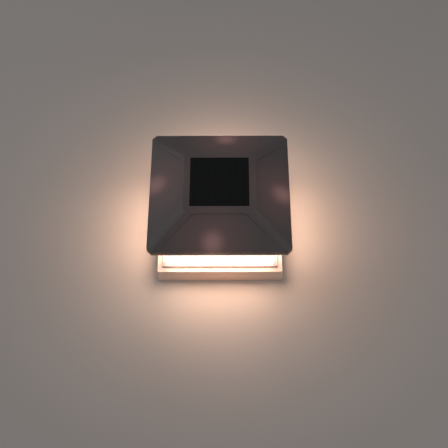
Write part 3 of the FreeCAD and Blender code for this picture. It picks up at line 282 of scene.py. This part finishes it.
# painted shade: the cap's pale plastic is given a dark grey that stands in for the little light falling on
# it
CAP_SHADE_COLOUR = (0.132, 0.110, 0.107)

# the four LEDs shine at the middle of each side, and a little comes through the cap near them: a small
# brighter spot in a wide faint one
HOT_SPOTS = ((-0.068, 0.006), (0.066, -0.007), (-0.007, -0.066), (0.0065, 0.067))
HOT_RADIUS = 0.0175
HOT_STRENGTH = 0.095
HOT_COLOUR = (1.0, 0.46, 0.42)
HOT_COLOUR_FULL = 0.6 * HOT_STRENGTH
WIDE_RADIUS = 0.058
WIDE_STRENGTH = 0.032
WIDE_COLOUR = (1.0, 0.34, 0.32)

# the lip's lower edge catches the lens's light
RIM_HEIGHT = 0.0045
RIM_STRENGTH = 0.13
RIM_COLOUR = (1.0, 0.70, 0.50)
RIM_COLOUR_FULL = 0.3 * RIM_STRENGTH


def cap_finish():
    """The cap's satin plastic in a painted shade of dark grey, faintly lit through by the LEDs and from
    below along its lip.
    """
    finish = moulded("cap_plastic", CAP_SHADE_COLOUR, rough=0.46, mottle=0.05, **CASING_GRAIN)
    hot = 0.0
    wide = 0.0
    for spot in HOT_SPOTS:
        away = finish.distance(*spot)
        hot = finish.maths("ADD", hot, finish.ease(away, HOT_STRENGTH, 0.0, end=HOT_RADIUS))
        wide = finish.maths("ADD", wide, finish.ease(away, WIDE_STRENGTH, 0.0, end=WIDE_RADIUS))
    patchy = finish.span(finish.noise(scale=55.0), low=0.7, high=1.3)
    through = finish.maths("ADD", finish.maths("MULTIPLY", hot, patchy), wide)
    rim = finish.ease(finish.axis(Z_AXIS), RIM_STRENGTH, 0.0, start=LIP_LOW, end=LIP_LOW + RIM_HEIGHT)
    at_spot = finish.span(hot, 0.0, 1.0, end=HOT_COLOUR_FULL)
    at_rim = finish.span(rim, 0.0, 1.0, end=RIM_COLOUR_FULL)
    colours = finish.mix(at_rim, finish.mix(at_spot, WIDE_COLOUR, HOT_COLOUR), RIM_COLOUR)
    return finish.set(Emission_Color=colours, Emission_Strength=finish.maths("ADD", through, rim))


# the base's pale plastic, with a pink tint that is painted light: it stands in for the warm light bounced
# onto the base
BASE_COLOUR = (0.80, 0.67, 0.61)
# painted shade: the skirt darkens towards its foot, in mottled patches
FOOT_SHADE_COLOUR = (0.42, 0.36, 0.30)
FOOT_SHADE_HEIGHT = 0.008
FOOT_SHADE_SHARE = 0.35

# a little of the lens's light leaks out through the skirt's walls, most at the middle of each side, and
# none of it through the foot's flat rim
LEAK_STRENGTH = 0.17
LEAK_END_STRENGTH = 0.045
LEAK_COLOUR = (1.0, 0.36, 0.13)
LEAK_REACH = 0.95 * BASE_HALF
LEAK_SKIN = 0.001
LEAK_RIM_FADE = 0.001


def base_finish():
    """The base's pale plastic: fine grain, a painted shade that darkens it towards its foot, and faint light
    through its skirt.
    """
    finish = moulded("base_plastic", BASE_COLOUR, rough=0.48, mottle=0.03, **CASING_GRAIN)
    pale = finish.shader.inputs["Base Color"].links[0].from_socket
    height = finish.axis(Z_AXIS)
    # painted shade: darker towards the foot, mottled by noise
    low = finish.ease(height, FOOT_SHADE_SHARE, 0.0, end=FOOT_SHADE_HEIGHT)
    dust_and_shade = finish.maths("MULTIPLY", low, finish.noise(scale=420.0, detail=6.0))
    off_x = finish.off_middle(X_AXIS)
    off_y = finish.off_middle(Y_AXIS)
    farther = finish.maths("MAXIMUM", off_x, off_y)
    on_skirt = finish.span(farther, 0.0, 1.0, start=BASE_HALF - SKIRT_WALL, end=BASE_HALF - LEAK_SKIN)
    off_rim = finish.span(height, 0.0, 1.0, end=LEAK_RIM_FADE)
    along = finish.maths("MINIMUM", off_x, off_y)
    strength = finish.ease(along, LEAK_STRENGTH, LEAK_END_STRENGTH, end=LEAK_REACH)
    leak = finish.maths("MULTIPLY", finish.maths("MULTIPLY", on_skirt, off_rim), strength)
    return finish.set(
        Base_Color=finish.mix(dust_and_shade, pale, FOOT_SHADE_COLOUR), Emission_Color=LEAK_COLOUR, Emission_Strength=leak)


CELL_COUNT = 4
CELL_FIELD = 0.0575
SILICON_FINGERS = 640.0
GLASS_FINGERS = 520.0


def silicon_finish():
    """Cell strips: near-black, with hair-thin grid fingers."""
    finish = Finish("solar_silicon")
    finger = finish.ease(finish.fingers(SILICON_FINGERS), low=0.35, high=0.0, end=0.12)
    dark = finish.mix(finish.noise(scale=90.0), (0.004, 0.004, 0.006), (0.009, 0.009, 0.013))
    finish.set(Base_Color=finish.mix(finger, dark, (0.03, 0.03, 0.034)), Roughness=0.35)
    return finish.bump(finger, depth=0.00001, strength=0.3)


def panel_glass_finish():
    """The panel's dark laminated cover: the gaps, bus bars and fingers of its cells barely show through."""
    finish = Finish("panel_glass")
    cell = finish.maths("MULTIPLY", finish.axis(X_AXIS), CELL_COUNT / CELL_FIELD)
    within = finish.maths("FRACT", finish.maths("ADD", cell, 0.5 * CELL_COUNT))
    off_bar = finish.maths("ABSOLUTE", finish.maths("SUBTRACT", within, 0.5))
    gap = finish.ease(off_bar, low=0.0, high=1.0, start=0.475, end=0.49)
    bar = finish.ease(off_bar, low=1.0, high=0.0, start=0.02, end=0.035)
    finger = finish.ease(finish.fingers(GLASS_FINGERS), low=0.4, high=0.0, end=0.14)
    lines = finish.maths("MAXIMUM", finish.maths("MAXIMUM", gap, bar), finger)
    tint = finish.mix(finish.noise(scale=70.0), (0.0010, 0.0010, 0.0010), (0.0026, 0.0026, 0.0026))
    dust_and_shade = finish.noise(scale=520.0, detail=6.0, rough=0.7)
    finish.set(
        Base_Color=finish.mix(lines, tint, (0.007, 0.007, 0.0075)),
        Roughness=finish.span(dust_and_shade, low=0.18, high=0.36), IOR=1.47)
    return finish.bump(finish.noise(scale=60.0, detail=2.0), depth=0.00004, strength=0.4)


# light that the lens shows: in a petal, beside it, and on the petal's outline
LENS_COLOUR = (0.55, 0.53, 0.49)
PETAL_GLOW = 1.18
GROUND_GLOW = 0.92
OUTLINE_GLOW = 0.50
GLOW_COLOUR = (1.0, 0.94, 0.86)
OUTLINE_COLOUR = (1.0, 0.82, 0.62)
OUTLINE_WIDTH = 0.15
PETAL_EDGE = 0.3
COLUMN_SHADE = 0.8
STREAK_SCALE = (240.0, 240.0, 30.0)

# the outlines fade out towards the lens's corners and, as shares of a petal's height, towards its foot
OUTLINE_INBOARD = LENS_HALF - 0.009
OUTLINE_END = LENS_HALF - 0.003
OUTLINE_LEAST = 0.06
OUTLINE_RISE = 0.3
OUTLINE_FULL = 0.8


def lens_finish():
    """Clear plastic lit from inside: bright petals with darker outlines, dimmer over the corner columns."""
    finish = Finish("lens_clear")
    in_front = finish.maths("GREATER_THAN", finish.off_middle(Y_AXIS), finish.off_middle(X_AXIS))
    at_side = finish.maths("SUBTRACT", 1.0, in_front)
    along_front = finish.maths("MULTIPLY", finish.axis(X_AXIS), in_front)
    along_side = finish.maths("MULTIPLY", finish.axis(Y_AXIS), at_side)
    along = finish.maths("ADD", along_front, along_side)
    off_centre = finish.maths("ABSOLUTE", along)

    from_end = finish.maths("ADD", along, LENS_HALF)
    cell = finish.maths("MULTIPLY", from_end, PETALS_A_SIDE / (2.0 * LENS_HALF))
    off_stem = finish.maths("ABSOLUTE", finish.maths("SUBTRACT", finish.maths("FRACT", cell), 0.5))
    up = finish.span(finish.axis(Z_AXIS), 0.0, 1.0, start=PETAL_LOW, end=PETAL_HIGH)
    leaf = finish.maths("POWER", finish.maths("SINE", finish.maths("MULTIPLY", up, math.pi)), LEAF_POWER)
    inside = finish.maths("SUBTRACT", leaf, finish.maths("MULTIPLY", off_stem, 2.0))
    petal = finish.ease(inside, GROUND_GLOW, PETAL_GLOW, end=PETAL_EDGE)

    on_line = finish.ease(finish.maths("ABSOLUTE", inside), 1.0, 0.0, end=OUTLINE_WIDTH)
    inboard = finish.ease(off_centre, 1.0, 0.0, start=OUTLINE_INBOARD, end=OUTLINE_END)
    raised = finish.ease(up, OUTLINE_LEAST, 1.0, start=OUTLINE_RISE, end=OUTLINE_FULL)
    drawn = finish.maths("MULTIPLY", on_line, finish.maths("MULTIPLY", inboard, raised))

    off_column = finish.maths("ABSOLUTE", finish.maths("SUBTRACT", off_centre, LENS_HALF - COLUMN_INSET))
    column = finish.ease(off_column, COLUMN_SHADE, 1.0, end=COLUMN_RADIUS)
    streak = finish.noise(1.0, detail=4.0, vector=finish.stretched(STREAK_SCALE))
    even = finish.maths("MULTIPLY", column, finish.span(streak, low=0.9, high=1.1))
    strength = finish.span(drawn, finish.maths("MULTIPLY", petal, even), OUTLINE_GLOW)
    finish.set(
        Base_Color=LENS_COLOUR, Roughness=finish.span(streak, low=0.12, high=0.3), IOR=1.49,
        Emission_Color=finish.mix(drawn, GLOW_COLOUR, OUTLINE_COLOUR), Emission_Strength=strength)
    return finish.bump(finish.noise(scale=900.0, detail=2.0), depth=0.00003, strength=0.4)


def led_finish():
    """Clear resin with a warm bright core."""
    finish = Finish("led_resin")
    core = finish.noise(scale=700.0, detail=2.0)
    finish.set(Base_Color=(1.0, 0.93, 0.8), Roughness=0.1)
    glow = finish.span(core, low=5.0, high=9.0)
    return finish.set(Emission_Color=(1.0, 0.78, 0.5), Emission_Strength=glow)


def wire_finish():
    """Red insulation on the right-hand wire of each pair, black on the left."""
    finish = Finish("wire_cover")
    on_right = finish.maths("GREATER_THAN", finish.axis(X_AXIS), 0.0)
    smear = finish.noise(scale=900.0)
    red = finish.mix(smear, (0.34, 0.012, 0.01), (0.5, 0.03, 0.02))
    black = finish.mix(smear, (0.012, 0.012, 0.012), (0.03, 0.03, 0.03))
    finish.set(Base_Color=finish.mix(on_right, black, red), Roughness=0.38)
    return finish.bump(finish.noise(scale=1500.0, detail=2.0), depth=0.00002, strength=0.5)


SLEEVE_BAND_START = 0.015
CRINKLE_SCALE = (900.0, 260.0, 260.0)


def sleeve_finish():
    """The cell's plain shrink sleeve: green, with a silver band at one end."""
    finish = Finish("battery_wrap")
    band = finish.maths("GREATER_THAN", finish.axis(X_AXIS), SLEEVE_BAND_START)
    crinkle = finish.noise(1.0, vector=finish.stretched(CRINKLE_SCALE))
    green = finish.mix(crinkle, (0.03, 0.19, 0.07), (0.05, 0.27, 0.11))
    finish.set(Base_Color=finish.mix(band, green, (0.55, 0.56, 0.55)), Roughness=0.26, Coat_Weight=0.5)
    return finish.bump(crinkle, depth=0.00004, strength=0.5)


def make_finishes():
    """Every material slot of the record, by name."""
    finishes = [
        cap_finish(),
        base_finish(),
        silicon_finish(),
        panel_glass_finish(),
        lens_finish(),
        led_finish(),
        wire_finish(),
        sleeve_finish(),
        moulded("tray_plastic", (0.80, 0.78, 0.74), rough=0.44, mottle=0.02),
        moulded("chip_black", (0.02, 0.02, 0.02), rough=0.5),
        moulded("switch_black", (0.026, 0.026, 0.028), rough=0.4),
        moulded("ferrite", (0.07, 0.062, 0.055), rough=0.7, depth=0.0001, mottle=0.3),
        metal("screw_steel", (0.62, 0.60, 0.56)),
        metal("battery_steel", (0.70, 0.69, 0.66), rough=0.22, fine_axis=X_AXIS),
        metal("contact_metal", (0.72, 0.70, 0.64), rough=0.2, fine_axis=Y_AXIS, fine_scale=900.0),
        metal("capacitor_can", (0.58, 0.58, 0.60), rough=0.34),
        foam("black_foam", (0.03, 0.03, 0.03)),
        foam("seal_foam", (0.06, 0.06, 0.062)),
        foam("seal_rubber", (0.62, 0.61, 0.58)),
        solder_mask("circuit_board", (0.015, 0.11, 0.05), copper=(0.05, 0.22, 0.10)),
        solder_mask("panel_backing", (0.008, 0.008, 0.009), copper=(0.02, 0.02, 0.022)),
        solder_mask("led_board_white", (0.80, 0.80, 0.78), copper=(0.68, 0.68, 0.66)),
    ]
    return {finish.name: finish.material for finish in finishes}


def dress_nodes(finishes):
    """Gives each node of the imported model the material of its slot."""
    for row in frame["record"]["subparts"]:
        for place in NODES[row["node"]].material_slots:
            place.material = finishes[row["material_slot"]]


# ---- lens ----------------------------------------------------------------------------------------

STEPS_A_SIDE = 112
BAND_ROWS = 56
CORNER_FADE = 0.004
COLUMN_STEPS = 32
COLUMN_CHAMFER = 0.0004
PEG_CHAMFER = 0.0008
PEG_TIP_SHARE = 0.7
FLANGE_CHAMFER = 0.0005


def petal_relief(along, up):
    """How far the band's outside lies in from its flat face, at a place in a side's own 0..1 frame.

    Each petal is a pointed leaf standing on its tip, with a low ridge down its middle.
    """
    cell = along * PETALS_A_SIDE
    off_stem = abs(cell - math.floor(cell) - 0.5) * 2.0
    leaf = math.sin(math.pi * up) ** LEAF_POWER
    inside = max(0.0, 1.0 - off_stem / max(leaf, 0.001))
    crown = math.sin(inside * math.pi / 2)
    return PETAL_DEPTH * (1.0 - crown)


def petal_inset(along, height):
    """The inset of the band's outside: the petals, flat bands above and below them, and full corners."""
    up = (height - PETAL_LOW) / (PETAL_HIGH - PETAL_LOW)
    relief = petal_relief(along, up) if 0.0 < up < 1.0 else PETAL_DEPTH
    to_corner = min(along, 1.0 - along) * 2.0 * LENS_HALF
    return relief * min(1.0, to_corner / CORNER_FADE)


def wall_inset(along, height):
    """The inset of the band's smooth inside."""
    return LENS_WALL


def side_point(side, along, inward, height):
    """A point on one of the lens's four sides; inward is its distance in from the outer face."""
    reach = LENS_HALF - inward
    slide = (2.0 * along - 1.0) * reach
    turn = side * math.tau / SIDES
    return Vector((
        slide * math.cos(turn) + reach * math.sin(turn),
        slide * math.sin(turn) - reach * math.cos(turn),
        height))


def ring_of_points(mesh, height, inset_at):
    """One closed ring of vertices round the four sides."""
    ring = []
    for side in range(SIDES):
        for step in range(STEPS_A_SIDE):
            along = step / STEPS_A_SIDE
            ring.append(mesh.verts.new(side_point(side, along, inset_at(along, height), height)))
    return ring


def bridge(mesh, lower, upper):
    """Joins two rings of as many points with quads."""
    count = len(lower)
    for index in range(count):
        after = (index + 1) % count
        mesh.faces.new((lower[index], lower[after], upper[after], upper[index]))


def mesh_object(name, mesh, finish, smooth=True):
    data = bpy.data.meshes.new(name)
    bmesh.ops.recalc_face_normals(mesh, faces=mesh.faces)
    for face in mesh.faces:
        face.smooth = smooth
    mesh.to_mesh(data)
    mesh.free()
    piece = bpy.data.objects.new(name, data)
    bpy.context.scene.collection.objects.link(piece)
    data.materials.append(finish)
    return piece


def make_lens_band(finish):
    """The glowing band: smooth inside, with a row of upright petals moulded round the outside."""
    mesh = bmesh.new()
    heights = [LENS_FOOT + LENS_TALL * row / BAND_ROWS for row in range(BAND_ROWS + 1)]
    outside = [ring_of_points(mesh, height, petal_inset) for height in heights]
    inside = [ring_of_points(mesh, height, wall_inset) for height in (LENS_FOOT, LENS_TOP)]
    for lower, upper in zip(outside, outside[1:]):
        bridge(mesh, lower, upper)
    bridge(mesh, inside[0], inside[1])
    bridge(mesh, inside[0], outside[0])
    bridge(mesh, inside[1], outside[-1])
    return mesh_object("lens_band", mesh, finish)


def add_column(mesh, x, y):
    """One corner column of the lens, with its peg and its softened shoulder."""
    profile = (
        (PEG_RADIUS * PEG_TIP_SHARE, PEG_LOW),
        (PEG_RADIUS, PEG_LOW + PEG_CHAMFER),
        (PEG_RADIUS, LENS_FOOT),
        (COLUMN_RADIUS, LENS_FOOT),
        (COLUMN_RADIUS, LENS_TOP - COLUMN_CHAMFER),
        (COLUMN_RADIUS - COLUMN_CHAMFER, LENS_TOP))
    rings = []
    for radius, height in profile:
        ring = []
        for step in range(COLUMN_STEPS):
            angle = math.tau * step / COLUMN_STEPS
            place = (x + radius * math.cos(angle), y + radius * math.sin(angle), height)
            ring.append(mesh.verts.new(place))
        rings.append(ring)
    for lower, upper in zip(rings, rings[1:]):
        bridge(mesh, lower, upper)
    mesh.faces.new(rings[0][::-1])
    mesh.faces.new(rings[-1])


def make_lens_columns(finish):
    mesh = bmesh.new()
    reach = LENS_HALF - COLUMN_INSET
    for x in (-reach, reach):
        for y in (-reach, reach):
            add_column(mesh, x, y)
    return mesh_object("lens_columns", mesh, finish)


def make_lens_flange(finish):
    """The flat foot inside the band, a square ring with a chamfered inner edge."""
    mesh = bmesh.new()
    outer = LENS_HALF - LENS_WALL
    inner = outer - FLANGE_WIDTH
    top = LENS_FOOT + FLANGE_THICKNESS
    sections = (
        (outer, LENS_FOOT),
        (inner + FLANGE_CHAMFER, LENS_FOOT),
        (inner, LENS_FOOT + FLANGE_CHAMFER),
        (inner, top - FLANGE_CHAMFER),
        (inner + FLANGE_CHAMFER, top),
        (outer, top))
    rings = []
    for half, height in sections:
        corners = ((-half, -half), (half, -half), (half, half), (-half, half))
        rings.append([mesh.verts.new((x, y, height)) for x, y in corners])
    for index, ring in enumerate(rings):
        bridge(mesh, ring, rings[(index + 1) % len(rings)])
    return mesh_object("lens_flange", mesh, finish, smooth=False)


# ---- floor ---------------------------------------------------------------------------------------

FLOOR_HALF = 3.0
FLOOR_CELLS = 8
FLOOR_DARK = (0.55, 0.51, 0.48)
FLOOR_PALE = (0.59, 0.55, 0.52)


def make_floor():
    floor = bpy.data.objects.new("floor", bpy.data.meshes.new("floor"))
    bpy.context.scene.collection.objects.link(floor)
    mesh = bmesh.new()
    bmesh.ops.create_grid(mesh, x_segments=FLOOR_CELLS, y_segments=FLOOR_CELLS, size=FLOOR_HALF)
    mesh.to_mesh(floor.data)
    mesh.free()
    finish = Finish("floor_paper")
    finish.set(Base_Color=finish.mix(finish.noise(scale=3.0), FLOOR_DARK, FLOOR_PALE), Roughness=0.8)
    finish.bump(finish.noise(scale=700.0), depth=0.00005, strength=0.3)
    floor.data.materials.append(finish.material)


# ---- light ---------------------------------------------------------------------------------------

WORLD_COLOUR = (0.92, 0.96, 1.0)
WORLD_STRENGTH = 0.14
STUDIO_AIM = Vector((0.0, 0.0, 0.05))

# name, place, side, power and colour of each soft studio lamp
STUDIO_LAMPS = (
    ("soft_key", Vector((-1.2, 0.5, 1.3)), 1.4, 5.3, (0.97, 0.97, 1.0)),
    ("soft_fill", Vector((1.1, -0.5, 1.4)), 1.6, 4.7, (1.0, 0.97, 0.95)))

# each side of the lens throws a broad wash over the floor and a whiter strip of light onto the ledge:
# name, height of the lamp's middle above the lens's foot, its own height, power, colour, and how much its
# beam drops for each unit that it goes out
LENS_LAMPS = (
    ("lens_wash", 0.5 * LENS_TALL, 0.85 * LENS_TALL, 0.104, (1.0, 0.60, 0.40), 0.0),
    ("lens_sill", 0.007, 0.0035, 0.002, (0.92, 0.88, 1.0), 1.1))
LAMP_STANDOFF = 0.0004
LAMP_WIDTH = 0.95 * 2.0 * LENS_HALF


def add_lamp(name, place, beam, width, height, power, colour):
    """A rectangular lamp at a place, shining the way that its beam points."""
    light = bpy.data.lights.new(name, "AREA")
    light.shape = "RECTANGLE"
    light.size = width
    light.size_y = height
    light.energy = power
    light.color = colour
    lamp = bpy.data.objects.new(name, light)
    bpy.context.scene.collection.objects.link(lamp)
    lamp.location = place
    lamp.rotation_euler = beam.to_track_quat("-Z", "Y").to_euler()
    return lamp


def light_studio():
    """Soft light from above on both sides, and a dim cool surround."""
    bpy.context.scene.view_settings.view_transform = "Standard"
    world = bpy.data.worlds.new("studio")
    world.use_nodes = True
    background = world.node_tree.nodes["Background"]
    background.inputs["Color"].default_value = (*WORLD_COLOUR, 1.0)
    background.inputs["Strength"].default_value = WORLD_STRENGTH
    bpy.context.scene.world = world
    for name, place, side, power, colour in STUDIO_LAMPS:
        add_lamp(name, place, STUDIO_AIM - place, side, side, power, colour)


def light_lens(band):
    """The light thrown out of each side of the lens, by lamps that aren't seen and move with the band."""
    for side in range(SIDES):
        for name, above, height, power, colour, drop in LENS_LAMPS:
            place = side_point(side, 0.5, -LAMP_STANDOFF, LENS_FOOT + above)
            beam = Vector((place.x, place.y, 0.0)).normalized() - Vector((0.0, 0.0, drop))
            lamp = add_lamp(f"{name}_{side + 1}", place, beam, LAMP_WIDTH, height, power, colour)
            lamp.visible_camera = False
            lamp.visible_glossy = False
            lamp.parent = band


# ---- the whole light -----------------------------------------------------------------------------

make_camera()
make_floor()
light_studio()
FINISHES = make_finishes()
dress_nodes(FINISHES)
LENS_FINISH = FINISHES["lens_clear"]
LENS_BAND = make_lens_band(LENS_FINISH)
light_lens(LENS_BAND)
for piece in (LENS_BAND, make_lens_columns(LENS_FINISH), make_lens_flange(LENS_FINISH)):
    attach(piece, "head")
    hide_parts("lens")
